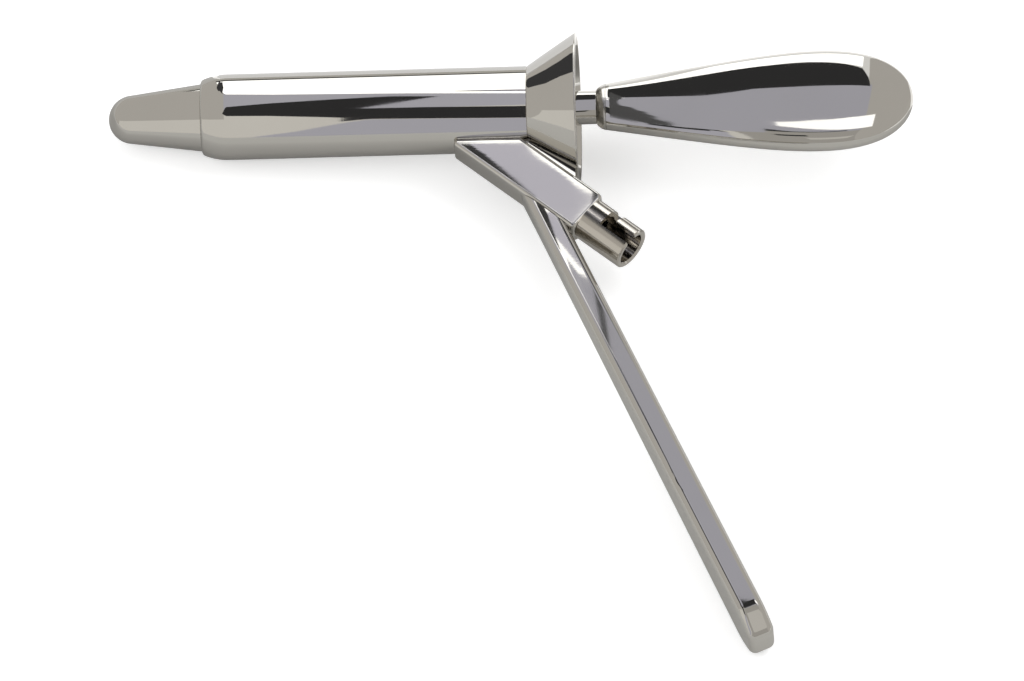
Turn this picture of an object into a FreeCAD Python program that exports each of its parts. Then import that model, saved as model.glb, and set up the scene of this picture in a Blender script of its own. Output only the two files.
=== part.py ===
import FreeCAD, Part
import math
import os

import Sketcher

# Rigid proctoscope with its obturator, lying on its side. X runs along the tube towards the viewing
# mouth, the handle points to -Y, and the origin is on the tube's axis in the plane of the mouth.

SIZES = {
    # speculum tube with its rolled far lip
    "tubeRadius": 11.0,
    "tubeWall": 1.0,
    "tubeReach": 96.6,
    "lipLength": 6.9,
    "lipDrop": 2.3,
    "lipNoseRadius": 1.2,
    "lipWall": 1.2,
    "lipInnerRadius": 0.6,
    # viewing cone, lapped over the tube's near end
    "coneLength": 12.9,
    "coneWall": 1.0,
    "rimRadius": 19.75,
    "rimRound": 0.35,
    "lapLength": 1.2,
    "lapDepth": 0.45,
    # light housing, a slanting block: its middle line crosses the tube's axis behind the mouth
    "lightAngle": 40.0,
    "lightCross": 36.47,
    "housingReach": 51.0,
    "housingWidth": 12.2,
    "housingDepth": 8.2,
    "seatRise": 0.65,
    "housingRound": 1.0,
    "housingCorner": 1.6,
    "housingTip": 1.05,
    "webDepth": 4.6,
    "webInset": 0.8,
    "webSink": 1.0,
    "channelRadius": 2.6,
    # light socket, a bayonet sleeve with one L slot
    "socketRadius": 5.65,
    "socketBore": 4.1,
    "socketLength": 14.1,
    "socketFloor": 1.5,
    "socketChamfer": 0.35,
    "spigotRadius": 3.4,
    "spigotLength": 5.0,
    "slotWidth": 2.9,
    "ringLength": 5.0,
    "notchLength": 2.9,
    "notchTurn": 95.0,
    # handle, a flat bar that widens to a rounded toe
    "barAngle": 66.4,
    "barRoot": 9.5,
    "barThick": 7.0,
    "barLength": 136.0,
    "flareStart": 8.0,
    "toeDepth": 15.2,
    "toeLength": 6.0,
    "toeEnd": 9.4,
    "toeShoulder": 12.0,
    "toeRadius": 2.6,
    "barRound": 2.0,
    # obturator nose
    "noseProud": 23.8,
    "noseTipRadius": 6.2,
    "fitGap": 0.08,
    "lipGap": 0.3,
    "skirtLength": 7.5,
    # obturator rod, necked down at both ends
    "rodRadius": 4.35,
    "rodProud": 4.7,
    "neckRadius": 3.0,
    "noseNeck": 9.0,
    "gripNeck": 17.0,
    # ferrule, a shoulder that spreads from the rod to the grip's root, fullest at its swell
    "ferruleLength": 2.3,
    "ferruleWidth": 4.8,
    "ferruleThick": 4.5,
    "ferruleSwell": 0.7,
    # grip: at share u of its length it is (root + gain * u) * sqrt(1 - u^power) wide and thick
    "gripLength": 79.1,
    "gripRootWidth": 6.25,
    "gripWidthGain": 14.25,
    "gripRootThick": 5.3,
    "gripThickGain": 1.56,
    "gripEdgeShare": 0.72,
}

# The grip's sections crowd towards its tip: the sine of each of these angles is its share of the length
GRIP_STATIONS = [84.0 * step / 11 for step in range(12)]

BORE_RADIUS = "(dims.tubeRadius - dims.tubeWall)"
MOUTH_RADIUS = "(dims.tubeRadius - dims.lipDrop)"
LAP_RADIUS = "(dims.tubeRadius - dims.lapDepth)"
LAP_END = "(-dims.coneLength + dims.lapLength)"
LIP_INSIDE = "(-dims.tubeReach + dims.lipWall)"
LIP_INNER_LENGTH = "(dims.lipLength - dims.lipWall)"
LIP_INNER_DROP = "(dims.lipDrop - dims.tubeWall)"
SOCKET_X = "(-dims.lightCross + dims.housingReach * cos(dims.lightAngle))"
SOCKET_Y = "(-dims.housingReach * sin(dims.lightAngle))"
NOSE_SHOULDER = "(%s + dims.lipGap)" % LIP_INSIDE
NOSE_BACK = "(%s + %s + dims.skirtLength)" % (NOSE_SHOULDER, LIP_INNER_LENGTH)
GRIP_START = "(dims.rodProud + dims.ferruleLength)"

document = FreeCAD.newDocument("proctoscope")
sheet = document.addObject("Spreadsheet::Sheet", "dims")


def fillSheet():
    """Write the driving sizes into the sheet, each with its alias."""
    for row, (name, number) in enumerate(SIZES.items(), start=1):
        sheet.set("A%d" % row, name)
        sheet.set("B%d" % row, str(number))
        sheet.setAlias("B%d" % row, name)
    document.recompute()


def worth(formula):
    """Number that a formula of sheet sizes gives."""
    number = sheet.evalExpression(formula)
    return float(getattr(number, "Value", number))


def newBody(name):
    body = document.addObject("PartDesign::Body", name)
    body.Label = name
    return body


def sketchOn(body, role, name, offset=None):
    """Empty sketch on one of the body's own origin planes, moved off it by a formula if given."""
    sketch = body.newObject("Sketcher::SketchObject", name)
    plane = [item for item in body.Origin.OriginFeatures if item.Role == role][0]
    sketch.AttachmentSupport = [(plane, "")]
    sketch.MapMode = "FlatFace"
    if offset:
        sketch.setExpression("AttachmentOffset.Base.z", offset)
    return sketch


def arcBetween(start, end, radius, side):
    """Arc from start to end, and its end numbers in that order. Side 1 has the centre on the left."""
    chord = end - start
    height = math.sqrt(max(radius * radius - chord.Length ** 2 / 4.0, 0.0))
    left = FreeCAD.Vector(-chord.y, chord.x, 0).normalize()
    centre = (start + end) * 0.5 + left * (height * side)
    first = math.atan2(start.y - centre.y, start.x - centre.x)
    last = math.atan2(end.y - centre.y, end.x - centre.x)
    circle = Part.Circle(centre, FreeCAD.Vector(0, 0, 1), radius)
    if side > 0:
        return Part.ArcOfCircle(circle, first, last), (1, 2)
    return Part.ArcOfCircle(circle, last, first), (2, 1)


def drawOutline(sketch, corners):
    """Closed outline. A corner is an x and a y formula; a radius formula and a centre side after them
    bend the edge that leaves it."""
    points = [FreeCAD.Vector(worth(corner[0]), worth(corner[1]), 0) for corner in corners]
    ends = []
    for index, corner in enumerate(corners):
        start = points[index]
        end = points[(index + 1) % len(points)]
        if len(corner) == 2:
            sketch.addGeometry(Part.LineSegment(start, end))
            ends.append((1, 2))
        else:
            arc, order = arcBetween(start, end, worth(corner[2]), corner[3])
            sketch.addGeometry(arc)
            ends.append(order)
    for index in range(len(corners)):
        following = (index + 1) % len(corners)
        sketch.addConstraint(
            Sketcher.Constraint("Coincident", index, ends[index][1], following, ends[following][0]))
    for index, corner in enumerate(corners):
        for kind, formula in (("DistanceX", corner[0]), ("DistanceY", corner[1])):
            rule = Sketcher.Constraint(kind, -1, 1, index, ends[index][0], worth(formula))
            bindConstraint(sketch, rule, formula)
        if len(corner) > 2:
            bindConstraint(sketch, Sketcher.Constraint("Radius", index, worth(corner[2])), corner[2])


def bindConstraint(sketch, rule, formula):
    index = sketch.addConstraint(rule)
    sketch.setExpression("Constraints[%d]" % index, formula)


def circleSketch(body, name, radius, offset=None):
    """Circle about X on the body's YZ plane."""
    sketch = sketchOn(body, "YZ_Plane", name, offset)
    sketch.addGeometry(Part.Circle(FreeCAD.Vector(0, 0, 0), FreeCAD.Vector(0, 0, 1), worth(radius)))
    sketch.addConstraint(Sketcher.Constraint("Coincident", 0, 3, -1, 1))
    bindConstraint(sketch, Sketcher.Constraint("Radius", 0, worth(radius)), radius)
    return sketch


def revolve(body, name, corners):
    """Turned piece: the outline lies in the XY plane and is turned about X."""
    sketch = sketchOn(body, "XY_Plane", name + "_outline")
    drawOutline(sketch, corners)
    turned = body.newObject("PartDesign::Revolution", name)
    turned.Profile = sketch
    turned.ReferenceAxis = (sketch, ["H_Axis"])
    turned.Angle = 360
    document.recompute()
    return turned


def padBothWays(body, name, sketch, length):
    pad = body.newObject("PartDesign::Pad", name)
    pad.Profile = sketch
    pad.SideType = "Symmetric"
    pad.setExpression("Length", length)
    document.recompute()
    return pad


def pocketBothWays(body, name, sketch, length):
    before = body.Shape.Volume
    pocket = body.newObject("PartDesign::Pocket", name)
    pocket.Profile = sketch
    pocket.SideType = "Symmetric"
    pocket.setExpression("Length", length)
    document.recompute()
    if body.Shape.Volume > before - 0.01:
        raise RuntimeError(name + " cuts nothing")
    return pocket


def roundEdges(body, base, name, test, radius, kind="Fillet"):
    """Fillet or chamfer the edges of the base feature that pass the test."""
    names = ["Edge%d" % (index + 1) for index, edge in enumerate(base.Shape.Edges) if test(edge)]
    feature = body.newObject("PartDesign::" + kind, name)
    feature.Base = (base, names)
    feature.setExpression("Radius" if kind == "Fillet" else "Size", radius)
    document.recompute()
    return feature


def bindPlace(item, x, y, turn):
    """Put a piece at formulas x and y, turned clockwise about Z by the formula turn."""
    item.Placement.Rotation = FreeCAD.Rotation(FreeCAD.Vector(0, 0, -1), 1.0)
    item.setExpression("Placement.Base.x", x)
    item.setExpression("Placement.Base.y", y)
    item.setExpression("Placement.Rotation.Angle", turn)


def booleanPiece(kind, name, base, tool):
    piece = document.addObject("Part::" + kind, name)
    piece.Base = base
    piece.Tool = tool
    piece.Label = name
    document.recompute()
    return piece


def ovalRadius(length, height, small):
    """Large radius of a quarter oval made of two tangent arcs, as a formula."""
    words = {"a": length, "b": height, "c": small}
    return "(((%(a)s - %(c)s)^2 + (%(b)s)^2 - (%(c)s)^2) / (2 * (%(b)s - %(c)s)))" % words


def lipCurve(start, base, length, height, small):
    """Point where the two arcs of a rounded lip meet, and the radius of the larger one. The lip's blunt
    end is at start and base, and it reaches its full height one length further along X."""
    large = ovalRadius(length, height, small)
    lean = "atan2(%s - %s; %s - %s)" % (large, height, length, small)
    meetX = "%s + %s - %s * cos(%s)" % (start, small, small, lean)
    meetY = "%s + %s * sin(%s)" % (base, small, lean)
    return meetX, meetY, large


def makeTube(channel):
    """Tube with a thick rolled lip, a thinner lap at the cone and the port of the light channel."""
    blank = newBody("tube_blank")
    lipEnd = "-dims.tubeReach"
    lipBack = "-dims.tubeReach + dims.lipLength"
    outerX, outerY, outerLarge = lipCurve(
        lipEnd, MOUTH_RADIUS, "dims.lipLength", "dims.lipDrop", "dims.lipNoseRadius")
    innerX, innerY, innerLarge = lipCurve(
        LIP_INSIDE, MOUTH_RADIUS, LIP_INNER_LENGTH, LIP_INNER_DROP, "dims.lipInnerRadius")
    revolve(blank, "tube_turned", [
        (lipEnd, MOUTH_RADIUS, "dims.lipNoseRadius", -1),
        (outerX, outerY, outerLarge, -1),
        (lipBack, "dims.tubeRadius"),
        ("-dims.coneLength", "dims.tubeRadius"),
        ("-dims.coneLength", LAP_RADIUS),
        (LAP_END, LAP_RADIUS),
        (LAP_END, BORE_RADIUS),
        (lipBack, BORE_RADIUS, innerLarge, 1),
        (innerX, innerY, "dims.lipInnerRadius", 1),
        (LIP_INSIDE, MOUTH_RADIUS),
    ])
    return booleanPiece("Cut", "speculum_tube", blank, channel)


def makeLightChannel():
    """Round channel from the tube's axis to the outer end of the light housing."""
    channel = newBody("light_channel")
    pad = channel.newObject("PartDesign::Pad", "channel_length")
    pad.Profile = circleSketch(channel, "channel_circle", "dims.channelRadius")
    pad.setExpression("Length", "dims.housingReach")
    bindPlace(channel, "-dims.lightCross", "0", "dims.lightAngle")
    document.recompute()
    return channel


def makeCone():
    """Viewing cone with a thin rounded rim, lapped over the tube's end."""
    cone = newBody("viewing_cone")
    slope = "((dims.rimRadius - dims.tubeRadius) / dims.coneLength)"
    turned = revolve(cone, "cone_turned", [
        ("-dims.coneLength", "dims.tubeRadius"),
        ("0", "dims.rimRadius"),
        ("0", "dims.rimRadius - dims.coneWall * sqrt(1 + %s^2)" % slope),
        (LAP_END, LAP_RADIUS),
        ("-dims.coneLength", LAP_RADIUS),
    ])

    def atRim(edge):
        return edge.BoundBox.XLength < 0.01 and abs(edge.BoundBox.XMin) < 0.01
    roundEdges(cone, turned, "cone_rim", atRim, "dims.rimRound")
    return cone


def makeHousing(channel):
    """Slanting block under the tube, a web up to the cone, and the bores for light and socket."""
    block = newBody("housing_block")
    bindPlace(block, SOCKET_X, SOCKET_Y, "dims.lightAngle")
    half = "dims.housingWidth / 2"
    seat = "(%s + dims.tubeRadius - dims.seatRise %s cos(dims.lightAngle) * dims.housingWidth / 2)"
    below = (seat % (SOCKET_Y, "-")) + " / sin(dims.lightAngle)"
    above = (seat % (SOCKET_Y, "+")) + " / sin(dims.lightAngle)"
    sketch = sketchOn(block, "XY_Plane", "block_outline")
    drawOutline(sketch, [("0", "-" + half), ("0", half), (above, half), (below, "-" + half)])
    pad = padBothWays(block, "block_depth", sketch, "dims.housingDepth")

    def upright(edge):
        return edge.BoundBox.ZLength > 1 and abs(edge.BoundBox.XMax) < 0.01
    corners = roundEdges(block, pad, "block_corners", upright, "dims.housingCorner")
    tipX = worth(below)

    def atTip(edge):
        return edge.BoundBox.ZLength > 1 and abs(edge.BoundBox.XMin - tipX) < 0.01
    tipped = roundEdges(block, corners, "block_tip", atTip, "dims.housingTip")

    def onFace(edge):
        return edge.BoundBox.ZLength < 0.01
    roundEdges(block, tipped, "block_edges", onFace, "dims.housingRound")

    web = newBody("housing_web")
    topLine = "(%s * tan(dims.lightAngle) + %s + dims.housingWidth / 2 / cos(dims.lightAngle))" % (
        SOCKET_X, SOCKET_Y)
    webSketch = sketchOn(web, "XY_Plane", "web_outline")
    webStart = "(-dims.coneLength - dims.webSink)"
    under = "%s - (%s) * tan(dims.lightAngle) - dims.webSink"
    drawOutline(webSketch, [
        (webStart, "-dims.tubeRadius + dims.webSink"),
        (webStart, under % (topLine, webStart)),
        ("-dims.webInset", under % (topLine, "-dims.webInset")),
        ("-dims.webInset", "-dims.rimRadius + dims.webSink"),
    ])
    padBothWays(web, "web_depth", webSketch, "dims.webDepth")

    joined = booleanPiece("Fuse", "housing_joined", block, web)
    besideTube = booleanPiece("Cut", "housing_under_tube", joined, tubeSpace())
    besideCone = booleanPiece("Cut", "housing_under_cone", besideTube, coneSpace())
    withChannel = booleanPiece("Cut", "housing_with_channel", besideCone, channel)
    return booleanPiece("Cut", "light_housing", withChannel, spigotSpace())


def tubeSpace():
    """Solid room that the tube's outside fills."""
    space = document.addObject("Part::Cylinder", "tube_space")
    space.setExpression("Radius", "dims.tubeRadius")
    space.setExpression("Height", "dims.tubeReach")
    space.setExpression("Placement.Base.x", "-dims.tubeReach")
    space.Placement.Rotation = FreeCAD.Rotation(FreeCAD.Vector(0, 1, 0), 90)
    return space


def coneSpace():
    """Solid room that the viewing cone's outside fills."""
    space = document.addObject("Part::Cone", "cone_space")
    space.setExpression("Radius1", "dims.tubeRadius")
    space.setExpression("Radius2", "dims.rimRadius")
    space.setExpression("Height", "dims.coneLength")
    space.setExpression("Placement.Base.x", "-dims.coneLength")
    space.Placement.Rotation = FreeCAD.Rotation(FreeCAD.Vector(0, 1, 0), 90)
    return space


def spigotSpace():
    """Room for the socket's spigot in the end of the housing."""
    space = newBody("spigot_space")
    pad = space.newObject("PartDesign::Pad", "spigot_depth")
    pad.Profile = circleSketch(space, "spigot_circle", "dims.spigotRadius")
    pad.SideType = "Symmetric"
    pad.setExpression("Length", "2 * dims.spigotLength")
    bindPlace(space, SOCKET_X, SOCKET_Y, "dims.lightAngle")
    document.recompute()
    return space


def makeSocket():
    """Bayonet sleeve: a turned sleeve with a spigot, cut by a slot along it and a notch across."""
    blank = newBody("socket_blank")
    turned = revolve(blank, "socket_turned", [
        ("-dims.spigotLength", "dims.channelRadius"),
        ("-dims.spigotLength", "dims.spigotRadius"),
        ("0", "dims.spigotRadius"),
        ("0", "dims.socketRadius"),
        ("dims.socketLength", "dims.socketRadius"),
        ("dims.socketLength", "dims.socketBore"),
        ("dims.socketFloor", "dims.socketBore"),
        ("dims.socketFloor", "dims.channelRadius"),
    ])
    end = worth("dims.socketLength")

    def atMouth(edge):
        return edge.BoundBox.XLength < 0.01 and abs(edge.BoundBox.XMin - end) < 0.01
    roundEdges(blank, turned, "socket_mouth", atMouth, "dims.socketChamfer", "Chamfer")

    slot = document.addObject("Part::Box", "bayonet_slot")
    slot.setExpression("Length", "dims.socketLength")
    slot.setExpression("Width", "dims.slotWidth")
    slot.setExpression("Height", "2 * dims.socketRadius")
    slot.setExpression("Placement.Base.x", "dims.ringLength")
    slot.setExpression("Placement.Base.y", "-dims.slotWidth / 2")

    notch = document.addObject("Part::Cylinder", "bayonet_notch")
    notch.setExpression("Radius", "2 * dims.socketRadius")
    notch.setExpression("Height", "dims.notchLength")
    notch.setExpression("Angle", "dims.notchTurn")
    notch.setExpression("Placement.Base.x", "dims.ringLength + dims.notchLength")
    notch.Placement.Rotation = FreeCAD.Rotation(FreeCAD.Vector(0, 1, 0), -90)

    cutter = booleanPiece("Fuse", "bayonet_cutter", slot, notch)
    socket = booleanPiece("Cut", "light_socket", blank, cutter)
    bindPlace(socket, SOCKET_X, SOCKET_Y, "dims.lightAngle")
    document.recompute()
    return socket


def makeHandle():
    """Flat bar, mitred against the housing's underside, widening to a rounded toe."""
    bar = newBody("handle_bar")
    rootX = "%s - dims.barRoot * cos(dims.lightAngle) - dims.housingWidth / 2 * sin(dims.lightAngle)"
    rootY = "%s + dims.barRoot * sin(dims.lightAngle) - dims.housingWidth / 2 * cos(dims.lightAngle)"
    bindPlace(bar, rootX % SOCKET_X, rootY % SOCKET_Y, "dims.barAngle")
    mitre = "(dims.barAngle - dims.lightAngle)"
    sink = "(dims.barThick / tan(%s))" % mitre

    sketch = sketchOn(bar, "XZ_Plane", "bar_outline")
    drawOutline(sketch, [
        ("-" + sink, "-dims.housingDepth / 2"),
        ("dims.flareStart", "-dims.housingDepth / 2"),
        ("dims.barLength - dims.toeLength", "-dims.toeDepth / 2"),
        ("dims.barLength", "-dims.toeEnd / 2"),
        ("dims.barLength", "dims.toeEnd / 2"),
        ("dims.barLength - dims.toeLength", "dims.toeDepth / 2"),
        ("dims.flareStart", "dims.housingDepth / 2"),
        ("-" + sink, "dims.housingDepth / 2"),
    ])
    pad = padBothWays(bar, "bar_thickness", sketch, "dims.barThick")

    def edgeAcross(place):
        def test(edge):
            return edge.BoundBox.YLength > 1 and abs(edge.BoundBox.XMin - worth(place)) < 0.01
        return test
    shoulder = roundEdges(
        bar, pad, "toe_shoulders", edgeAcross("dims.barLength - dims.toeLength"), "dims.toeShoulder")
    toe = roundEdges(bar, shoulder, "toe_corners", edgeAcross("dims.barLength"), "dims.toeRadius")

    def longEdge(edge):
        return edge.BoundBox.YLength < 0.01 and edge.BoundBox.XMax > 0.01
    rounded = roundEdges(bar, toe, "bar_edges", longEdge, "dims.barRound")

    cut = sketchOn(bar, "XY_Plane", "mitre_outline")
    alongX = "2 * %s * cos(%s)" % (sink, mitre)
    alongY = "2 * %s * sin(%s)" % (sink, mitre)
    drawOutline(cut, [
        ("-" + alongX, "-" + alongY),
        (alongX, alongY),
        ("-" + alongX, alongY),
    ])
    pocketBothWays(bar, "bar_mitre", cut, "2 * dims.toeDepth")
    return bar


def makeNose():
    """Bullet nose with a taper, a land in the tube's mouth, a shoulder behind the lip and a skirt."""
    nose = newBody("obturator_nose")
    land = "(%s - dims.fitGap)" % MOUTH_RADIUS
    tip = "(-dims.tubeReach - dims.noseProud)"
    run = "(dims.noseProud - dims.noseTipRadius)"
    taper = "(atan2(%s; %s) - asin(dims.noseTipRadius / sqrt(%s^2 + %s^2)))" % (land, run, land, run)
    shoulderX, shoulderY, shoulderLarge = lipCurve(
        NOSE_SHOULDER, land, LIP_INNER_LENGTH, LIP_INNER_DROP, "dims.lipInnerRadius")
    skirtStart = "%s + %s" % (NOSE_SHOULDER, LIP_INNER_LENGTH)
    skirtRadius = "%s - dims.fitGap" % BORE_RADIUS
    revolve(nose, "nose_turned", [
        (tip, "0", "dims.noseTipRadius", -1),
        ("%s + dims.noseTipRadius * (1 - sin(%s))" % (tip, taper), "dims.noseTipRadius * cos(%s)" % taper),
        ("-dims.tubeReach", land),
        (NOSE_SHOULDER, land, "dims.lipInnerRadius", -1),
        (shoulderX, shoulderY, shoulderLarge, -1),
        (skirtStart, skirtRadius),
        (NOSE_BACK, skirtRadius),
        (NOSE_BACK, "dims.neckRadius"),
        (NOSE_BACK + " - dims.noseNeck", "dims.neckRadius"),
        (NOSE_BACK + " - dims.noseNeck", "0"),
    ])
    return nose


def makeRod():
    """Rod between nose and grip, with a neck in each."""
    rod = newBody("obturator_rod")
    revolve(rod, "rod_turned", [
        (NOSE_BACK + " - dims.noseNeck", "0"),
        (NOSE_BACK + " - dims.noseNeck", "dims.neckRadius"),
        (NOSE_BACK, "dims.neckRadius"),
        (NOSE_BACK, "dims.rodRadius"),
        ("dims.rodProud", "dims.rodRadius"),
        ("dims.rodProud", "dims.neckRadius"),
        ("dims.rodProud + dims.gripNeck", "dims.neckRadius"),
        ("dims.rodProud + dims.gripNeck", "0"),
    ])
    return rod


def ovalSection(body, name, place, wide, thick):
    """Flattened oval across X: two broad faces and two round edges, all tangent."""
    sketch = sketchOn(body, "YZ_Plane", name, place)
    edge = "(dims.gripEdgeShare * %s)" % thick
    face = ovalRadius(wide, thick, edge)
    lean = "atan2(%s - %s; %s - %s)" % (face, thick, wide, edge)
    meetY = "(%s - %s + %s * cos(%s))" % (wide, edge, edge, lean)
    meetZ = "(%s * sin(%s))" % (edge, lean)
    drawOutline(sketch, [
        (meetY, "-" + meetZ, edge, 1),
        (meetY, meetZ, face, 1),
        ("-" + meetY, meetZ, edge, 1),
        ("-" + meetY, "-" + meetZ, face, 1),
    ])
    return sketch


def loftThrough(body, name, sections):
    document.recompute()
    loft = body.newObject("PartDesign::AdditiveLoft", name)
    loft.Profile = sections[0]
    loft.Sections = sections[1:]
    document.recompute()
    return loft


def makeFerrule():
    """Shoulder on the rod's neck, lofted from just proud of the rod to the grip's root section."""
    ferrule = newBody("grip_ferrule")
    spread = "(dims.%s + (dims.%s - dims.%s) * %s)"
    sections = []
    for step, (share, part) in enumerate((("0", "0"), ("0.5", "dims.ferruleSwell"), ("1", "1"))):
        sections.append(ovalSection(
            ferrule, "shoulder_%d" % step, "dims.rodProud + dims.ferruleLength * %s" % share,
            spread % ("ferruleWidth", "gripRootWidth", "ferruleWidth", part),
            spread % ("ferruleThick", "gripRootThick", "ferruleThick", part)))
    loftThrough(ferrule, "shoulder_loft", sections)
    bore = circleSketch(ferrule, "shoulder_circle", "dims.neckRadius", "dims.rodProud")
    pocketBothWays(ferrule, "shoulder_bore", bore, "4 * dims.ferruleLength")
    return ferrule


def makeGrip():
    """Flattened teardrop grip, lofted through its sections and bored for the rod's neck."""
    grip = newBody("obturator_grip")
    sections = []
    for step, angle in enumerate(GRIP_STATIONS):
        share = "sin(%.4f)" % angle
        sections.append(ovalSection(
            grip, "section_%d" % step, "%s + dims.gripLength * %s" % (GRIP_START, share),
            "((dims.gripRootWidth + dims.gripWidthGain * %s) * sqrt(1 - %s^4))" % (share, share),
            "((dims.gripRootThick + dims.gripThickGain * %s) * sqrt(1 - %s^6))" % (share, share)))
    loftThrough(grip, "grip_loft", sections)
    bore = circleSketch(grip, "neck_circle", "dims.neckRadius", GRIP_START)
    pocketBothWays(grip, "neck_bore", bore, "2 * (dims.gripNeck - dims.ferruleLength)")
    return grip


def checkDocument(pieces):
    """Stop on a failed feature or a piece that is not one sound solid."""
    for item in document.Objects:
        if "Invalid" in item.State or "Error" in item.State:
            raise RuntimeError(item.Label + " failed: " + str(item.State))
    for piece in pieces:
        if piece.Shape.isNull() or not piece.Shape.isValid() or len(piece.Shape.Solids) != 1:
            raise RuntimeError(piece.Label + " is not one sound solid")


def exportPieces(pieces):
    os.makedirs("parts", exist_ok=True)
    for piece in pieces:
        piece.Shape.exportStep(os.path.join("parts", piece.Label + ".step"))
        print(piece.Label, round(piece.Shape.Volume, 1))


fillSheet()
lightChannel = makeLightChannel()
subParts = [
    makeTube(lightChannel),
    makeCone(),
    makeHousing(lightChannel),
    makeSocket(),
    makeHandle(),
    makeNose(),
    makeRod(),
    makeFerrule(),
    makeGrip(),
]
document.recompute()
checkDocument(subParts)
exportPieces(subParts)
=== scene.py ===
import math

import bmesh
import bpy
from mathutils import Matrix, Vector
from mathutils.geometry import tessellate_polygon


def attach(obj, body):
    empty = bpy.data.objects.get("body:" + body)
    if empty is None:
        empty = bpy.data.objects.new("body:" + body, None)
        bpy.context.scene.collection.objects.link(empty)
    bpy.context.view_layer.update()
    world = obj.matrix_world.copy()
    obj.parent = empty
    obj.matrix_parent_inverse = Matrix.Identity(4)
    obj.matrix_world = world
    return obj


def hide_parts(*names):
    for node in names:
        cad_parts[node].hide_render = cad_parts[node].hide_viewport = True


# Proctoscope with its obturator, polished all over, lying on a white table.
# X runs along the tube towards the viewing mouth and the handle points to -Y.
# Sizes are in mm and angles in degrees unless a comment says otherwise.

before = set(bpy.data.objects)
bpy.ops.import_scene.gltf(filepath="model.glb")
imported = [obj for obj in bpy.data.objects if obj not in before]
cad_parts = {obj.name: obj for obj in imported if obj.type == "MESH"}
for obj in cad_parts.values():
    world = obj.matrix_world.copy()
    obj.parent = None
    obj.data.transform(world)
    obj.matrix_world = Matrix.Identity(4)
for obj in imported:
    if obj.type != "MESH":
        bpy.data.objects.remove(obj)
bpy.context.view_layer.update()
mm = 0.001
scene = bpy.context.scene
scene.view_settings.view_transform = "Standard"
print("frame loaded:", len(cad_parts), "nodes")


def join(tree, value, socket):
    # a socket is linked and a plain value is typed in
    if isinstance(value, bpy.types.NodeSocket):
        tree.links.new(value, socket)
    elif value is not None:
        socket.default_value = value


def node(tree, kind, inputs=None, **settings):
    made = tree.nodes.new(kind)
    for name, value in settings.items():
        setattr(made, name, value)
    for name, value in (inputs or {}).items():
        join(tree, value, made.inputs[name])
    return made


def calc(tree, operation, *values):
    made = node(tree, "ShaderNodeMath", operation=operation)
    for index, value in enumerate(values):
        join(tree, value, made.inputs[index])
    return made.outputs[0]


def pick(tree, test, yes, no):
    # yes where the test is 1, no where it is 0
    return calc(tree, "ADD", calc(tree, "MULTIPLY", test, yes),
                calc(tree, "MULTIPLY", calc(tree, "SUBTRACT", 1.0, test), no))


def blend(tree, factor, first, second):
    # colour between two others: the mix node keeps its colours in sockets 6 and 7 and gives one in 2
    mix = node(tree, "ShaderNodeMix", data_type="RGBA")
    join(tree, factor, mix.inputs[0])
    join(tree, first, mix.inputs[6])
    join(tree, second, mix.inputs[7])
    return mix.outputs[2]


def newTree(name, sizes):
    tree = bpy.data.node_groups.new(name, "GeometryNodeTree")
    tree.interface.new_socket("Outline", in_out="INPUT", socket_type="NodeSocketGeometry")
    tree.interface.new_socket("Piece", in_out="OUTPUT", socket_type="NodeSocketGeometry")
    for label, kind in sizes.items():
        tree.interface.new_socket(label, in_out="INPUT", socket_type="NodeSocket" + kind)
    return tree, node(tree, "NodeGroupInput"), node(tree, "NodeGroupOutput")


def gridPlace(tree, around, margin=0.25):
    # for a grid rolled round X: the length of a row, each point's row and its turn;
    # the margin keeps a point from slipping into the row before through rounding
    columns = calc(tree, "ADD", around, 1)
    index = node(tree, "GeometryNodeInputIndex").outputs[0]
    row = calc(tree, "FLOOR", calc(tree, "DIVIDE", calc(tree, "ADD", index, margin), columns))
    column = calc(tree, "SUBTRACT", index, calc(tree, "MULTIPLY", row, columns))
    return columns, row, calc(tree, "MULTIPLY", column, calc(tree, "DIVIDE", 2 * math.pi, around))


def finishTree(tree, grid, place, given, out, weld=2e-7, sharpAngle=24):
    # shared tail: move the grid's points, weld (in metres), sharp edges by angle, real mesh, material
    moved = node(tree, "GeometryNodeSetPosition",
                 {"Geometry": grid.outputs["Mesh"], "Position": place.outputs[0]})
    welded = node(tree, "GeometryNodeMergeByDistance", {"Geometry": moved.outputs[0], "Distance": weld})
    fold = node(tree, "GeometryNodeInputMeshEdgeAngle").outputs["Unsigned Angle"]
    faces = node(tree, "GeometryNodeSetShadeSmooth",
                 {0: welded.outputs[0], "Shade Smooth": True}, domain="FACE")
    soft = calc(tree, "LESS_THAN", fold, math.radians(sharpAngle))
    edges = node(tree, "GeometryNodeSetShadeSmooth",
                 {0: faces.outputs[0], "Shade Smooth": soft}, domain="EDGE")
    real = node(tree, "GeometryNodeRealizeInstances", {"Geometry": edges.outputs[0]})
    dressed = node(tree, "GeometryNodeSetMaterial",
                   {"Geometry": real.outputs[0], "Material": given.outputs["Finish"]})
    tree.links.new(dressed.outputs[0], out.inputs["Piece"])


def runTree(piece, tree, values):
    # put the tree on the piece, then swap the piece's mesh for the result
    modifier = piece.modifiers.new("shape", "NODES")
    modifier.node_group = tree
    for item in tree.interface.items_tree:
        if item.in_out == "INPUT" and item.name in values:
            modifier[item.identifier] = values[item.name]
    graph = bpy.context.evaluated_depsgraph_get()
    mesh = bpy.data.meshes.new_from_object(piece.evaluated_get(graph))
    piece.modifiers.remove(modifier)
    piece.data = mesh
    shell = bmesh.new()
    shell.from_mesh(mesh)
    bmesh.ops.recalc_face_normals(shell, faces=shell.faces)
    shell.to_mesh(mesh)
    shell.free()
    return piece


def newPiece(name, mesh):
    piece = bpy.data.objects.new(name, mesh)
    scene.collection.objects.link(piece)
    return piece


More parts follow.
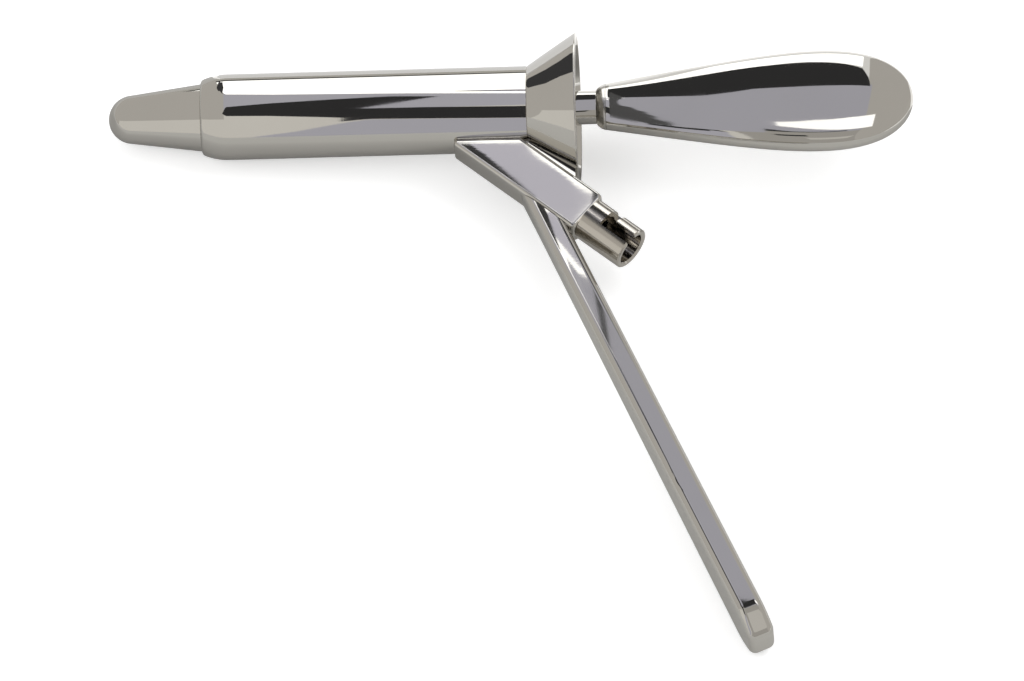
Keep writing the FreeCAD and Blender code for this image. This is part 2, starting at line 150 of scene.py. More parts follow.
# turned pieces: an outline of points along X, spun round the axis
turnedTree, given, out = newTree("turnedPiece", {"Around": "Int", "Finish": "Material"})
outline = given.outputs["Outline"]
rows = node(turnedTree, "GeometryNodeAttributeDomainSize", {"Geometry": outline}).outputs["Point Count"]
columns, row, turn = gridPlace(turnedTree, given.outputs["Around"])
grid = node(turnedTree, "GeometryNodeMeshGrid", {"Vertices X": rows, "Vertices Y": columns})
place = node(turnedTree, "GeometryNodeInputPosition").outputs[0]
sample = node(turnedTree, "GeometryNodeSampleIndex", data_type="FLOAT_VECTOR", domain="POINT")
for socket in sample.inputs:
    if socket.name == "Geometry":
        join(turnedTree, outline, socket)
    elif socket.name == "Value" and socket.type == "VECTOR":
        join(turnedTree, place, socket)
    elif socket.name == "Index":
        join(turnedTree, row, socket)
parts = node(turnedTree, "ShaderNodeSeparateXYZ", {0: sample.outputs[0]})
spun = node(turnedTree, "ShaderNodeCombineXYZ", {
    "X": parts.outputs["X"],
    "Y": calc(turnedTree, "MULTIPLY", parts.outputs["Y"], calc(turnedTree, "COSINE", turn)),
    "Z": calc(turnedTree, "MULTIPLY", parts.outputs["Y"], calc(turnedTree, "SINE", turn))})
finishTree(turnedTree, grid, spun, given, out)


def bend(centre, radius, start, end, steps=10):
    # points of an arc
    return [(centre[0] + radius * math.cos(math.radians(start + (end - start) * k / steps)),
             centre[1] + radius * math.sin(math.radians(start + (end - start) * k / steps)))
            for k in range(steps + 1)]


def softCorners(points, closed=True, steps=8):
    # a corner is (x, r) or (x, r, rounding)
    made = []
    count = len(points)
    for k, corner in enumerate(points):
        here = Vector(corner[:2])
        rounding = corner[2] if len(corner) > 2 else 0
        if not rounding or (not closed and k in (0, count - 1)):
            made.append(here)
            continue
        back = (Vector(points[k - 1][:2]) - here).normalized()
        ahead = (Vector(points[(k + 1) % count][:2]) - here).normalized()
        half = back.angle(ahead) / 2
        centre = here + (back + ahead).normalized() * (rounding / math.sin(half))
        first = here + back * (rounding / math.tan(half)) - centre
        last = here + ahead * (rounding / math.tan(half)) - centre
        sweep = first.angle_signed(last)
        for step in range(steps + 1):
            spin = Matrix.Rotation(-sweep * step / steps, 2)
            made.append(centre + spin @ first)
    return [tuple(point) for point in made]


def turned(name, points, finish, around=144, closed=True):
    ring = list(points) + ([points[0]] if closed else [])
    mesh = bpy.data.meshes.new(name)
    mesh.from_pydata([(x * mm, r * mm, 0) for x, r in ring], [(k, k + 1) for k in range(len(ring) - 1)], [])
    return runTree(newPiece(name, mesh), turnedTree, {"Around": around, "Finish": finish})


def polished(name, look):
    # mirror polish: fine hand-polishing lines, faint smears and a breath of waviness
    finish = bpy.data.materials.new(name)
    finish.use_nodes = True
    tree = finish.node_tree
    shader = tree.nodes["Principled BSDF"]
    shader.inputs["Metallic"].default_value = 1.0
    where = node(tree, "ShaderNodeTexCoord").outputs["Object"]
    lines = node(tree, "ShaderNodeMapping", {
        "Vector": where, "Scale": look["lineScale"], "Rotation": (0, 0, math.radians(look["lineTurn"]))})
    scratch = node(tree, "ShaderNodeTexNoise", {
        "Vector": lines.outputs[0], "Scale": 1.0,
        "Detail": look["lineDetail"], "Roughness": look["lineGrain"]})
    smear = node(tree, "ShaderNodeTexNoise", {
        "Vector": where, "Scale": look["smearScale"],
        "Detail": look["smearDetail"], "Roughness": look["smearGrain"]})
    wave = node(tree, "ShaderNodeTexNoise", {
        "Vector": where, "Scale": look["waveScale"], "Detail": look["waveDetail"]})
    rough = node(tree, "ShaderNodeMapRange", {
        "Value": smear.outputs["Fac"], "From Min": look["smearRange"][0], "From Max": look["smearRange"][1],
        "To Min": look["roughness"][0], "To Max": look["roughness"][1]})
    tree.links.new(rough.outputs[0], shader.inputs["Roughness"])
    tone = blend(tree, smear.outputs["Fac"], look["metal"], look["warm"])
    tree.links.new(tone, shader.inputs["Base Color"])
    swell = node(tree, "ShaderNodeBump", {
        "Height": wave.outputs["Fac"], "Strength": look["wave"], "Distance": look["waveDepth"]})
    fine = node(tree, "ShaderNodeBump", {
        "Height": scratch.outputs["Fac"], "Strength": look["scratch"], "Distance": look["scratchDepth"],
        "Normal": swell.outputs[0]})
    tree.links.new(fine.outputs[0], shader.inputs["Normal"])
    return finish


# depths are in metres; the fine lines run along X, or round the axis on turned pieces,
# and lineTurn turns their pattern so that it isn't the same on every piece
chrome = {
    "metal": (0.60, 0.585, 0.55, 1), "warm": (0.56, 0.545, 0.51, 1), "roughness": (0.02, 0.07),
    "lineScale": (60, 1400, 1400), "lineTurn": 0, "lineDetail": 4.0, "lineGrain": 0.6,
    "smearScale": 55.0, "smearDetail": 3.0, "smearGrain": 0.55, "smearRange": (0.35, 0.75),
    "waveScale": 30.0, "waveDetail": 1.0, "wave": 0.02, "waveDepth": 0.0004,
    "scratch": 0.05, "scratchDepth": 0.00002,
}
turnedChrome = dict(chrome, lineScale=(1600, 60, 60))
tubeChrome = polished("tubeChrome", turnedChrome)
coneChrome = polished("coneChrome", turnedChrome)
noseChrome = polished("noseChrome", turnedChrome)
rodChrome = polished("rodChrome", turnedChrome)
ferruleChrome = polished("ferruleChrome", dict(chrome, roughness=(0.2, 0.3)))
gripChrome = polished("gripChrome", dict(chrome, wave=0.05))
housingChrome = polished("housingChrome", dict(chrome, lineTurn=40, wave=0.04))
socketChrome = polished("socketChrome", dict(chrome, warm=(0.50, 0.46, 0.40, 1), roughness=(0.10, 0.18)))
handleChrome = polished("handleChrome", dict(chrome, lineTurn=66, wave=0.05))
print("finishes made")


def ovalCurve(start, base, length, height, small, steps=12):
    # rounded lip: small arc at the blunt end, then a large one that ends level
    large = ((length - small) ** 2 + height ** 2 - small ** 2) / (2 * (height - small))
    lean = math.degrees(math.atan2(large - height, length - small))
    first = bend((start + small, base), small, 180, 180 - lean, steps)
    second = bend((start + length, base + height - large), large, 180 - lean, 90, steps * 2)
    return first + second[1:]


tube = {"radius": 11.0, "wall": 1.0, "reach": 96.6, "lipLength": 6.9, "lipDrop": 2.3, "lipNose": 1.2,
        "lipWall": 1.2, "lipInner": 0.6, "lapX": -12.9, "lapEnd": -11.7, "lapRadius": 10.55,
        "easeLength": 0.15, "easeDrop": 0.12}
bore = tube["radius"] - tube["wall"]
mouth = tube["radius"] - tube["lipDrop"]
insideLip = {"length": tube["lipLength"] - tube["lipWall"], "height": tube["lipDrop"] - tube["wall"],
             "small": tube["lipInner"]}
outer = ovalCurve(-tube["reach"], mouth, tube["lipLength"], tube["lipDrop"], tube["lipNose"])
inner = ovalCurve(-tube["reach"] + tube["lipWall"], mouth, **insideLip)
tubePiece = turned("speculumTubePolished", outer + [
    (tube["lapX"] - tube["easeLength"], tube["radius"]), (tube["lapX"], tube["radius"] - tube["easeDrop"]),
    (tube["lapX"], tube["lapRadius"]), (tube["lapEnd"], tube["lapRadius"]),
    (tube["lapEnd"], bore)] + inner[::-1], tubeChrome, around=192)

cone = {"length": 12.9, "rim": 19.75, "small": 11.0, "wall": 1.0, "rimRound": 0.35, "lapRound": 0.08}
slope = (cone["rim"] - cone["small"]) / cone["length"]
conePiece = turned("viewingConePolished", softCorners([
    (-cone["length"], cone["small"], cone["lapRound"]), (0, cone["rim"], cone["rimRound"]),
    (0, cone["rim"] - cone["wall"] * math.hypot(1, slope), cone["rimRound"]),
    (tube["lapEnd"], tube["lapRadius"]), (-cone["length"], tube["lapRadius"])]), coneChrome, around=192)

nose = {"proud": 23.8, "tip": 6.2, "fit": 0.08, "lipGap": 0.3, "skirt": 7.5, "neck": 3.0, "neckDepth": 9.0,
        "edge": 0.3, "tipSteps": 24}
land = mouth - nose["fit"]
tipX = -tube["reach"] - nose["proud"]
run = nose["proud"] - nose["tip"]
taper = math.degrees(math.atan2(land, run) - math.asin(nose["tip"] / math.hypot(land, run)))
shoulder = ovalCurve(-tube["reach"] + tube["lipWall"] + nose["lipGap"], land, **insideLip)
back = shoulder[-1][0] + nose["skirt"]
neckStart = back - nose["neckDepth"]
skirt = bore - nose["fit"]
tip = bend((tipX + nose["tip"], 0), nose["tip"], 180, 90 + taper, nose["tipSteps"])
nosePiece = turned("obturatorNosePolished", tip + softCorners(
    [tip[-1], (-tube["reach"], land, nose["edge"]), (shoulder[0][0], land)], closed=False)[1:] + shoulder[1:]
    + softCorners([shoulder[-1], (back, skirt, nose["edge"]), (back, nose["neck"])], closed=False)[1:]
    + [(neckStart, nose["neck"]), (neckStart, 0)], noseChrome, closed=False)

rod = {"radius": 4.35, "neck": 3.0, "end": 4.7, "gripNeck": 17.0, "edge": 0.2}
neckEnd = rod["end"] + rod["gripNeck"]
rodPiece = turned("obturatorRodPolished", softCorners([
    (neckStart, 0), (neckStart, rod["neck"]), (back, rod["neck"]),
    (back, rod["radius"], rod["edge"]), (rod["end"], rod["radius"], rod["edge"]), (rod["end"], rod["neck"]),
    (neckEnd, rod["neck"]), (neckEnd, 0)], closed=False), rodChrome, around=96, closed=False)


def ovalRing(x, wide, thick, share=0.72, count=96):
    # flattened oval across X, two broad faces and two round edges
    edge = share * thick
    reach = wide - edge
    face = (reach ** 2 + thick ** 2 - edge ** 2) / (2 * (thick - edge))
    lean = math.atan2(reach, face - thick)
    ring = []
    for k in range(count):
        turn = 2 * math.pi * k / count
        across, up = abs(math.sin(turn)), abs(math.cos(turn))
        if math.atan2(across, up) < lean:
            y, z = face * across, face * up - (face - thick)
        else:
            y, z = edge * across + reach, edge * up
        ring.append((x, math.copysign(y, math.sin(turn)), math.copysign(z, math.cos(turn))))
    return ring


# the ferrule is a closed stack of oval rings round the rod's neck, its bore a hair less high than wide
ferrule = {"length": 2.3, "width": 4.8, "thick": 4.5, "swell": 0.7, "edge": 0.25, "rootWidth": 6.25,
           "rootThick": 5.3, "rows": 14, "edgeRows": 4, "boreFlat": 0.001, "sharpAngle": 30}
curve = 4 * ferrule["swell"] - 1
stack = []
for k in range(ferrule["edgeRows"] + 1):
    turn = math.pi / 2 * k / ferrule["edgeRows"]
    stack.append((ferrule["edge"] * (1 - math.cos(turn)), ferrule["edge"] * (1 - math.sin(turn))))
for k in range(1, ferrule["rows"] + 1):
    stack.append((ferrule["edge"] + (ferrule["length"] - ferrule["edge"]) * k / ferrule["rows"], 0))
rings = [ovalRing(rod["end"], rod["neck"], rod["neck"] - ferrule["boreFlat"])]
for along, inset in stack:
    u = along / ferrule["length"]
    part = curve * u + (1 - curve) * u * u
    rings.append(ovalRing(rod["end"] + along,
                          ferrule["width"] + (ferrule["rootWidth"] - ferrule["width"]) * part - inset,
                          ferrule["thick"] + (ferrule["rootThick"] - ferrule["thick"]) * part - inset))
rings.append(ovalRing(rod["end"] + ferrule["length"], rod["neck"], rod["neck"] - ferrule["boreFlat"]))
shell = bmesh.new()
corners = [[shell.verts.new(Vector(point) * mm) for point in ring] for ring in rings]
for k in range(len(corners)):
    first, second = corners[k], corners[(k + 1) % len(corners)]
    for j in range(len(first)):
        after = (j + 1) % len(first)
        shell.faces.new((first[j], first[after], second[after], second[j])).smooth = True
bmesh.ops.recalc_face_normals(shell, faces=shell.faces)
for item in shell.edges:
    item.smooth = item.calc_face_angle() < math.radians(ferrule["sharpAngle"])
mesh = bpy.data.meshes.new("gripFerrulePolished")
shell.to_mesh(mesh)
shell.free()
mesh.materials.append(ferruleChrome)
ferrulePiece = newPiece("gripFerrulePolished", mesh)
print("turned pieces made")

grip = {"Start": rod["end"] + ferrule["length"], "Length": 78.66, "Root width": 6.25, "Width gain": 14.2,
        "Root thickness": 5.3, "Thickness gain": 1.56, "Edge share": 0.72, "Root rounding": 0.15,
        "Rounding rows": 6, "Rows": 130, "Around": 176}
kinds = {label: "Int" if isinstance(value, int) else "Float" for label, value in grip.items()}
gripTree, given, out = newTree("teardropGrip", kinds | {"Finish": "Material"})
size = given.outputs


def g(operation, *values):
    return calc(gripTree, operation, *values)


columns, row, turn = gridPlace(gripTree, size["Around"])
grid = node(gripTree, "GeometryNodeMeshGrid", {"Vertices X": size["Rows"], "Vertices Y": columns})
# the first row is the middle of the root face, the next few turn its edge, and the rest run to the tip
early = g("MINIMUM", g("DIVIDE", g("MAXIMUM", g("SUBTRACT", row, 1), 0), size["Rounding rows"]), 1)
edgeTurn = g("MULTIPLY", early, math.pi / 2)
late = g("DIVIDE", g("MAXIMUM", g("SUBTRACT", g("SUBTRACT", row, 1), size["Rounding rows"]), 0),
         g("SUBTRACT", g("SUBTRACT", size["Rows"], 2), size["Rounding rows"]))
along = g("ADD", g("MULTIPLY", size["Root rounding"], g("SUBTRACT", 1, g("COSINE", edgeTurn))),
          g("MULTIPLY", g("SUBTRACT", size["Length"], size["Root rounding"]),
            g("SINE", g("MULTIPLY", late, math.pi / 2))))
share = g("DIVIDE", along, size["Length"])
inset = g("MULTIPLY", size["Root rounding"], g("SUBTRACT", 1, g("SINE", edgeTurn)))


def halfSize(root, gain, power, least=0.0001):
    # half the width or thickness: it grows evenly from the root and closes at the tip
    full = g("MULTIPLY_ADD", gain, share, root)
    close = g("SQRT", g("MAXIMUM", g("SUBTRACT", 1, g("POWER", share, power)), 0))
    return g("MAXIMUM", g("SUBTRACT", g("MULTIPLY", full, close), inset), least)


wide = halfSize(size["Root width"], size["Width gain"], 4)
thick = halfSize(size["Root thickness"], size["Thickness gain"], 6)
edge = g("MULTIPLY", size["Edge share"], thick)
reach = g("SUBTRACT", wide, edge)
squares = g("SUBTRACT", g("MULTIPLY_ADD", reach, reach, g("MULTIPLY", thick, thick)),
            g("MULTIPLY", edge, edge))
face = g("DIVIDE", squares, g("MULTIPLY", 2, g("SUBTRACT", thick, edge)))
lean = g("ARCTAN2", reach, g("SUBTRACT", face, thick))
across = g("ABSOLUTE", g("SINE", turn))
up = g("ABSOLUTE", g("COSINE", turn))
onFace = g("LESS_THAN", g("ARCTAN2", across, up), lean)
sideY = pick(gripTree, onFace, g("MULTIPLY", face, across), g("MULTIPLY_ADD", edge, across, reach))
sideZ = pick(gripTree, onFace, g("SUBTRACT", g("MULTIPLY", face, up), g("SUBTRACT", face, thick)),
             g("MULTIPLY", edge, up))
root = g("GREATER_THAN", row, 0.5)
spun = node(gripTree, "ShaderNodeCombineXYZ", {
    "X": g("MULTIPLY", g("ADD", size["Start"], along), mm),
    "Y": g("MULTIPLY", g("MULTIPLY", g("MULTIPLY", sideY, g("SIGN", g("SINE", turn))), root), mm),
    "Z": g("MULTIPLY", g("MULTIPLY", g("MULTIPLY", sideZ, g("SIGN", g("COSINE", turn))), root), mm)})
finishTree(gripTree, grid, spun, given, out)
gripPiece = runTree(newPiece("obturatorGripPolished", bpy.data.meshes.new("obturatorGripPolished")), gripTree,
                    dict(grip, Finish=gripChrome))
print("grip made:", len(gripPiece.data.polygons), "faces")


def smoothCopy(nodeName, name, finish, weld=1e-6, flatAngle=0.5, sharpAngle=22, faceWeight=90):
    # the solid's own faces, welded (in metres) and shaded smooth between sharp edges
    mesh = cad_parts[nodeName].data.copy()
    mesh.name = name
    shell = bmesh.new()
    shell.from_mesh(mesh)
    bmesh.ops.remove_doubles(shell, verts=shell.verts, dist=weld)
    bmesh.ops.dissolve_limit(shell, angle_limit=math.radians(flatAngle), verts=shell.verts, edges=shell.edges)
    for item in shell.faces:
        item.smooth = True
    for item in shell.edges:
        item.smooth = len(item.link_faces) == 2 and item.calc_face_angle() < math.radians(sharpAngle)
    shell.to_mesh(mesh)
    shell.free()
    mesh.materials.clear()
    mesh.materials.append(finish)
    piece = newPiece(name, mesh)
    # flat faces shade flat and the roundings between them carry the turn
    even = piece.modifiers.new("evenNormals", "WEIGHTED_NORMAL")
    even.keep_sharp = True
    even.weight = faceWeight
    return piece


housingPiece = smoothCopy("light_housing", "lightHousingPolished", housingChrome)
socketPiece = smoothCopy("light_socket", "lightSocketPolished", socketChrome)
handlePiece = smoothCopy("handle_bar", "handleBarPolished", handleChrome)

for piece, solid, body, slot in (
        (tubePiece, "speculum_tube", "speculum", "tube_chrome"),
        (conePiece, "viewing_cone", "speculum", "cone_chrome"),
        (housingPiece, "light_housing", "speculum", "housing_chrome"),
        (socketPiece, "light_socket", "speculum", "socket_chrome"),
        (handlePiece, "handle_bar", "speculum", "handle_chrome"),
        (nosePiece, "obturator_nose", "obturator", "nose_chrome"),
        (rodPiece, "obturator_rod", "obturator", "rod_chrome"),
        (ferrulePiece, "grip_ferrule", "obturator", "rod_chrome"),
        (gripPiece, "obturator_grip", "obturator", "grip_chrome")):
    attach(piece, body)
    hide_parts(solid)
print("pieces ride on their bodies")


def emptyTree(owner):
    # the node tree of a material or world, cleared
    owner.use_nodes = True
    owner.node_tree.nodes.clear()
    return owner.node_tree


def seenRays(tree):
    # 1 for rays from the camera or a mirror, 0 for the light that falls on things
    path = node(tree, "ShaderNodeLightPath")
    direct = calc(tree, "MAXIMUM", path.outputs["Is Camera Ray"], path.outputs["Is Glossy Ray"])
    return calc(tree, "MAXIMUM", direct, path.outputs["Is Transmission Ray"])


# the table top touches the cone's rim, the tube's lip and the handle's toe; its reach is in metres
table = {"height": -19.6, "slopeX": -0.0942, "slopeY": -0.1069, "reach": 6.0,
         "white": (0.86, 0.86, 0.86, 1), "glow": 0.4}
mesh = bpy.data.meshes.new("tableTop")
corners = [(-table["reach"], -table["reach"]), (table["reach"], -table["reach"]),
           (table["reach"], table["reach"]), (-table["reach"], table["reach"])]
mesh.from_pydata([(x, y, table["height"] * mm + table["slopeX"] * x + table["slopeY"] * y)
                  for x, y in corners], [], [(0, 1, 2, 3)])
floor = newPiece("tableTop", mesh)
white = bpy.data.materials.new("tableWhite")
tree = emptyTree(white)
glow = calc(tree, "MULTIPLY", seenRays(tree), table["glow"])
matt = node(tree, "ShaderNodeBsdfDiffuse", {"Color": table["white"]})
lift = node(tree, "ShaderNodeEmission", {"Color": (1, 1, 1, 1), "Strength": glow})
both = node(tree, "ShaderNodeAddShader", {0: matt.outputs[0], 1: lift.outputs[0]})
node(tree, "ShaderNodeOutputMaterial", {"Surface": both.outputs[0]})
mesh.materials.append(white)

sky = {"seen": 1.0, "light": 0.75}
world = bpy.data.worlds.new("studio")
scene.world = world
tree = emptyTree(world)
power = pick(tree, seenRays(tree), sky["seen"], sky["light"])
dome = node(tree, "ShaderNodeBackground", {"Color": (1, 1, 1, 1), "Strength": power})
node(tree, "ShaderNodeOutputWorld", {"Surface": dome.outputs[0]})


def hangCard(name, points, faces, colour, strength):
    # glowing card seen in the polish only
    mesh = bpy.data.meshes.new(name)
    mesh.from_pydata([(x * mm, y * mm, z * mm) for x, y, z in points], [], faces)
    card = newPiece(name, mesh)
    paint = bpy.data.materials.new(name)
    tree = emptyTree(paint)
    glow = node(tree, "ShaderNodeEmission", {"Color": colour, "Strength": strength})
    node(tree, "ShaderNodeOutputMaterial", {"Surface": glow.outputs[0]})
    mesh.materials.append(paint)
    card.visible_camera = card.visible_diffuse = False
    card.visible_shadow = card.visible_transmission = False


def filled(outline):
    # triangles of a flat outline
    return tessellate_polygon([[Vector((a, b, 0)) for a, b in outline]])


def studioCard(name, outline, colour, strength, radius=250):
    # card bent round the axis: corners are a place along X and an angle from +Y towards +Z
    points = [(x, radius * math.cos(math.radians(angle)), radius * math.sin(math.radians(angle)))
              for x, angle in outline]
    hangCard(name, points, filled(outline), colour, strength)


def tunnelWall(name, x0, x1, low, high, colour, strength, radius, stripAngle=6):
    # plain wall between two angles, in strips of a few degrees
    steps = max(2, int((high - low) / stripAngle))
    for step in range(steps):
        first = low + (high - low) * step / steps
        last = low + (high - low) * (step + 1) / steps
        studioCard(name + str(step), [(x0, first), (x1, first), (x1, last), (x0, last)],
                   colour, strength, radius)


beige, paleBeige, greyBeige = (0.61, 0.59, 0.56, 1), (0.84, 0.82, 0.78, 1), (0.50, 0.49, 0.46, 1)
violet, flatTone = (0.58, 0.58, 0.66, 1), (0.75, 0.74, 0.85, 1)
black, deepGrey, clear = (0.04, 0.04, 0.042, 1), (0.11, 0.11, 0.115, 1), (1, 1, 1, 1)

# from one X to another, between two angles, colour, strength and distance from the axis
walls = {
    "wallLeftHigh": (-700, -120, -12, 125, beige, 1.0, 260),
    "wallLeftLow": (-700, -120, 125, 184, paleBeige, 1.0, 260),
    "wallMiddleHigh": (-122, -14, 50, 108, violet, 1.0, 256),
    "wallMiddleLow": (-122, -14, 108, 184, paleBeige, 1.0, 256),
    "wallGripHigh": (-16, 135, 54, 108, violet, 0.92, 256),
    "wallGripLow": (-16, 135, 108, 184, beige, 0.8, 256),
    "wallRight": (128, 700, -14, 184, beige, 0.97, 262),
}
for name, wall in walls.items():
    tunnelWall(name, *wall)

# bright and dark cards in front of the walls, seen in the polish only as painted reflections: the white ones
# painted highlights, the dark ones painted dark bands on the tube and the grip
cards = {
    "keyTube": ([(-150, 8), (-19, 8), (-19, 78), (-57, 67.5), (-92, 61), (-122, 51)], clear, 2.3),
    "keyGrip": ([(-19, 7), (112, 7), (112, 34), (60, 31), (20, 27), (-19, 20)], clear, 2.3),
    "rimGrey": ([(-150, -16), (-19, -16), (-19, 2), (-150, 2)], greyBeige, 1.15),
    "lineLow": ([(-150, 2), (-19, 2), (-19, 6), (-150, 7)], black, 1.0),
    "darkLeg": ([(-134, 110), (-94, 86), (-78, 80), (-60, 75), (-47, 79), (-68, 105), (-66, 134), (-77, 127),
                 (-94, 119)], black, 1.0),
    "darkTube": ([(-70, 106), (-51, 107), (-24, 111), (-20, 110), (-20, 142), (-24, 141.5), (-66, 134),
                  (-74, 139)], black, 1.0),
    "violetTube": ([(-106, 184), (-87, 163.5), (-72, 141), (-66, 135), (-24, 142), (-20, 142), (-20, 184)],
                   violet, 0.98),
    "darkGrip": ([(-19, 18), (7, 22), (30, 27), (81, 32), (112, 36), (124, 46), (130, 56), (32, 58), (15, 66),
                  (-19, 68)], black, 1.0),
    "keyPatch": ([(30, 96), (60, 91.5), (100, 89), (160, 87), (160, 100), (86, 100), (28, 100)], clear, 1.9),
    "lineGrip": ([(-14, 106), (100, 102.5), (100, 105.5), (-14, 111)], black, 1.5),
}
for name, (corners, colour, strength) in cards.items():
    studioCard(name, corners, colour, strength)

# cards over the root of the grip, with their distance from the axis; seen in the polish only, they are
# painted reflections on the grip's root, the deep grey one a painted shade
rootCards = {
    "rootShade": ([(0.7, 39), (0.4, 44), (0.3, 54), (-0.1, 69), (-2.2, 92), (-6.1, 113), (-10.3, 130),
                   (-14.9, 147), (-17.1, 154), (-16.3, 152), (-15, 150), (-11.9, 144), (-7.4, 141),
                   (-3.4, 143), (0, 128), (1.9, 123), (-1.9, 129), (-0.8, 125), (-3, 129), (0.9, 119),
                   (-0.1, 118), (1.8, 111), (0.5, 111), (1.3, 103), (0.3, 100), (1.8, 89), (3.4, 74),
                   (4.2, 66), (2.5, 54)], deepGrey, 1.0, 108),
    "rootLine": ([(-10.3, 142), (-3.7, 143), (1.9, 142), (8.8, 139), (7.3, 148), (0.4, 152), (-5.3, 154),
                  (-12.1, 153)], black, 1.0, 109),
    "rootViolet": ([(3.4, 70), (8, 74), (12.6, 79), (22.5, 82), (31.8, 84), (40.8, 86), (31.9, 123),
                    (18.7, 131), (10.6, 137), (5.3, 139), (-3.4, 140), (-3.5, 132), (-5, 132), (-3.2, 124),
                    (-1.2, 111), (-0.8, 104)], violet, 0.92, 110),
}
for name, (corners, colour, strength, distance) in rootCards.items():
    studioCard(name, corners, colour, strength, distance)

# upright flags high above the tube, seen in the housing's flat as painted reflections: a dark wedge, the
# flat's violet tone and a painted highlight along its edge; corners along X and Z, and their Y
flags = {
    "flagWedge": ([(-39.2, 131.4), (-34.4, 131.7), (-30.6, 137.8), (-26.5, 145.6), (-18.3, 162.2),
                   (-18, 174.2), (-21.2, 170.2), (-30.1, 154.2), (-37.2, 140.2)], 59.6, black, 1.6),
    "flagHousing": ([(-37.5, 131.4), (-35.8, 131.7), (-20.1, 132.4), (-19.4, 133.9), (-17.5, 139.4),
                     (-12.7, 146.9), (-9.1, 153), (-7.4, 156.8), (-3.3, 162.2), (-3.4, 165.5),
                     (-7.1, 173.5), (-9.7, 179.7), (-15.7, 170.2), (-21, 161.6), (-28.2, 149.2)],
                    59.8, flatTone, 1.0),
    "flagEdge": ([(-39.2, 128.8), (-19.7, 128.8), (-18.2, 130.2), (-5.2, 138.2), (-3.2, 146.2),
                  (-0.2, 158.2), (-1.2, 170.2), (-7.1, 184.2), (-12.2, 184.2), (-18.7, 173.2),
                  (-21.2, 166.2), (-30.1, 150.2), (-37.2, 136.2)], 60.2, clear, 2.0),
}
for name, (corners, y, colour, strength) in flags.items():
    hangCard(name, [(x, y, z) for x, z in corners], filled(corners), colour, strength)

# dark card whose painted reflection is a dark band over the cone's face, corners along Y and Z
coneBand = {"x": -108, "strength": 1.5, "corners": [
    (53, 40), (50.6, 54), (60.7, 64), (71, 107), (133, 92), (144, 27), (127, 28), (110, 24), (100, 14)]}
hangCard("flagCone", [(coneBand["x"], y, z) for y, z in coneBand["corners"]],
         [tuple(range(len(coneBand["corners"])))], black, coneBand["strength"])

# level cards above the handle's toe, seen in the polish as painted reflections: a dark one for its edge and a
# pale one for its slope
toeCards = {
    "toeDark": ([(29, -87.5), (50, -85.5), (50, -112), (29, -112)], 110, black, 1.0),
    "toePale": ([(45, -230), (112, -230), (112, -143), (45, -143)], 105, paleBeige, 0.85),
}
for name, (corners, z, colour, strength) in toeCards.items():
    hangCard(name, [(x, y, z) for x, y in corners], [(0, 1, 2, 3)], colour, strength)

# end walls of the tunnel
ends = {"half": 700, "side": 264, "low": -90}
for name, x in (("endLeft", -ends["half"]), ("endRight", ends["half"])):
    hangCard(name, [(x, -ends["side"], ends["low"]), (x, ends["side"], ends["low"]),
                    (x, ends["side"], ends["side"]), (x, -ends["side"], ends["side"])],
             [(0, 1, 2, 3)], beige, 1.0)
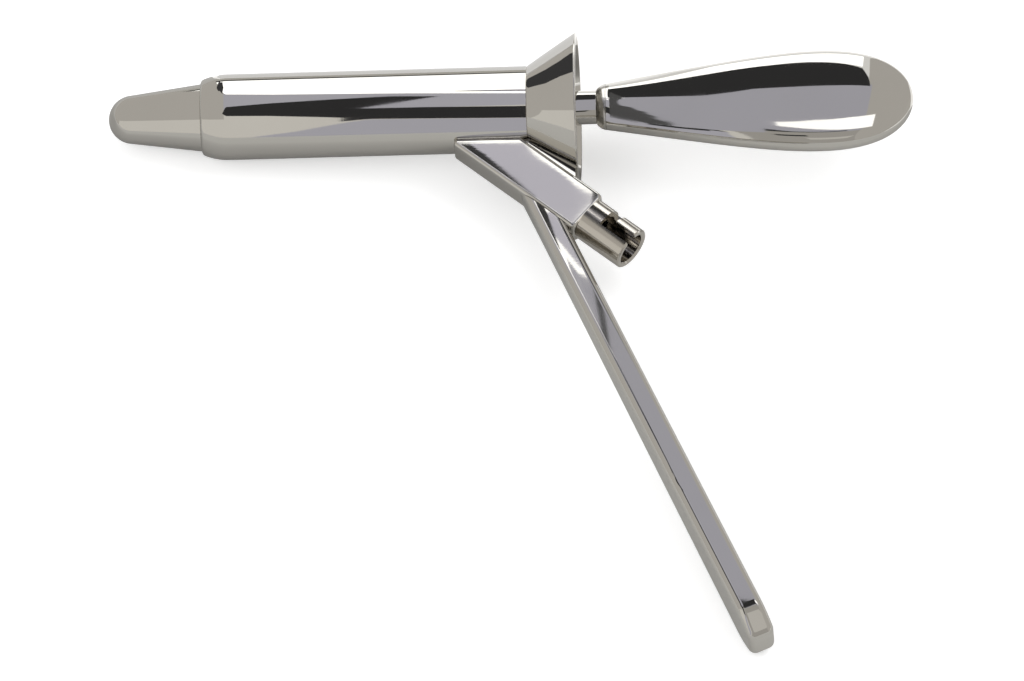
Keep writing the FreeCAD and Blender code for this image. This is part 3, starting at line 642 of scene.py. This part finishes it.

# paper just over the table, seen in the polish only, darker towards the middle as painted shade under the
# part
papers = {
    "greyPaper": {"corners": [(-700, -380), (260, -380), (260, 8), (70, 14), (-94, 14), (-104, 60),
                              (-150, 400), (-700, 400)], "lift": 0.1,
                  "near": (0.36, 0.355, 0.35, 1), "far": (0.60, 0.595, 0.58, 1), "spread": (2.0, 20.0, 20.0)},
    "palePaper": {"corners": [(-92, 16), (-12, 16), (-12, 400), (-144, 400), (-101, 60)], "lift": 0.1,
                  "near": (0.80, 0.80, 0.80, 1), "far": (0.90, 0.90, 0.91, 1), "spread": (2.0, 6.0, 6.0)},
}
for name, paper in papers.items():
    mesh = bpy.data.meshes.new(name)
    mesh.from_pydata([(x * mm, y * mm,
                       (table["height"] + paper["lift"] + table["slopeX"] * x + table["slopeY"] * y) * mm)
                      for x, y in paper["corners"]], [], filled(paper["corners"]))
    sheet = newPiece(name, mesh)
    matt = bpy.data.materials.new(name)
    tree = emptyTree(matt)
    where = node(tree, "ShaderNodeTexCoord").outputs["Object"]
    spread = node(tree, "ShaderNodeMapping", {"Vector": where, "Scale": paper["spread"]})
    fall = node(tree, "ShaderNodeTexGradient", {"Vector": spread.outputs[0]}, gradient_type="SPHERICAL")
    # the near tone is darker: painted shade beneath the part, seen in the polish
    tone = blend(tree, fall.outputs["Fac"], paper["far"], paper["near"])
    fibre = node(tree, "ShaderNodeBsdfDiffuse", {"Color": tone})
    node(tree, "ShaderNodeOutputMaterial", {"Surface": fibre.outputs[0]})
    mesh.materials.append(matt)
    sheet.visible_camera = sheet.visible_diffuse = sheet.visible_shadow = sheet.visible_transmission = False

# soft lamps that the polish doesn't show; places in metres, power in watts
lamps = {"size": 0.8, "power": 5.0, "aim": (-0.02, -0.05, 0),
         "places": {"lampLeft": (-0.7, -0.5, 1.1), "lampRight": (0.8, 0.3, 1.2)}}
for name, place in lamps["places"].items():
    light = bpy.data.lights.new(name, "AREA")
    light.size = lamps["size"]
    light.energy = lamps["power"]
    lamp = bpy.data.objects.new(name, light)
    lamp.location = place
    lamp.rotation_euler = (Vector(lamps["aim"]) - Vector(place)).to_track_quat("-Z", "Y").to_euler()
    lamp.visible_glossy = False
    scene.collection.objects.link(lamp)
print("studio made")

# camera: the slant and the turn in the picture come from the circles and the tube's line in the photograph;
# origin places the frame's origin off the picture's middle, in pixels, and clip is in metres
shot = {"azimuth": 5.1, "elevation": 61.3, "roll": -1.536, "pixelsPerMm": 3.909, "distance": 4500.0,
        "origin": (66.5, 232.9), "pixelsWide": 1024, "sensor": 36.0, "clip": (0.1, 60.0)}
azimuth, elevation = math.radians(shot["azimuth"]), math.radians(shot["elevation"])
away = Vector((math.sin(azimuth) * math.cos(elevation), -math.cos(azimuth) * math.cos(elevation),
               math.sin(elevation)))
level = Vector((0, 0, 1)).cross(away).normalized()
rise = away.cross(level)
lineTurn = math.atan2(rise.x, level.x) + math.radians(shot["roll"])
right = level * math.cos(lineTurn) + rise * math.sin(lineTurn)
top = rise * math.cos(lineTurn) - level * math.sin(lineTurn)
camera = bpy.data.objects.new("camera", bpy.data.cameras.new("camera"))
camera.data.sensor_width = shot["sensor"]
camera.data.lens = shot["pixelsPerMm"] * shot["distance"] * shot["sensor"] / shot["pixelsWide"]
across, down = (pixels / shot["pixelsPerMm"] for pixels in shot["origin"])
spot = away * shot["distance"] - right * across - top * down
camera.matrix_world = Matrix.Translation(spot * mm) @ Matrix((right, top, away)).transposed().to_4x4()
camera.data.clip_start, camera.data.clip_end = shot["clip"]
scene.collection.objects.link(camera)
scene.camera = camera
print("camera placed, lens", round(camera.data.lens, 1))
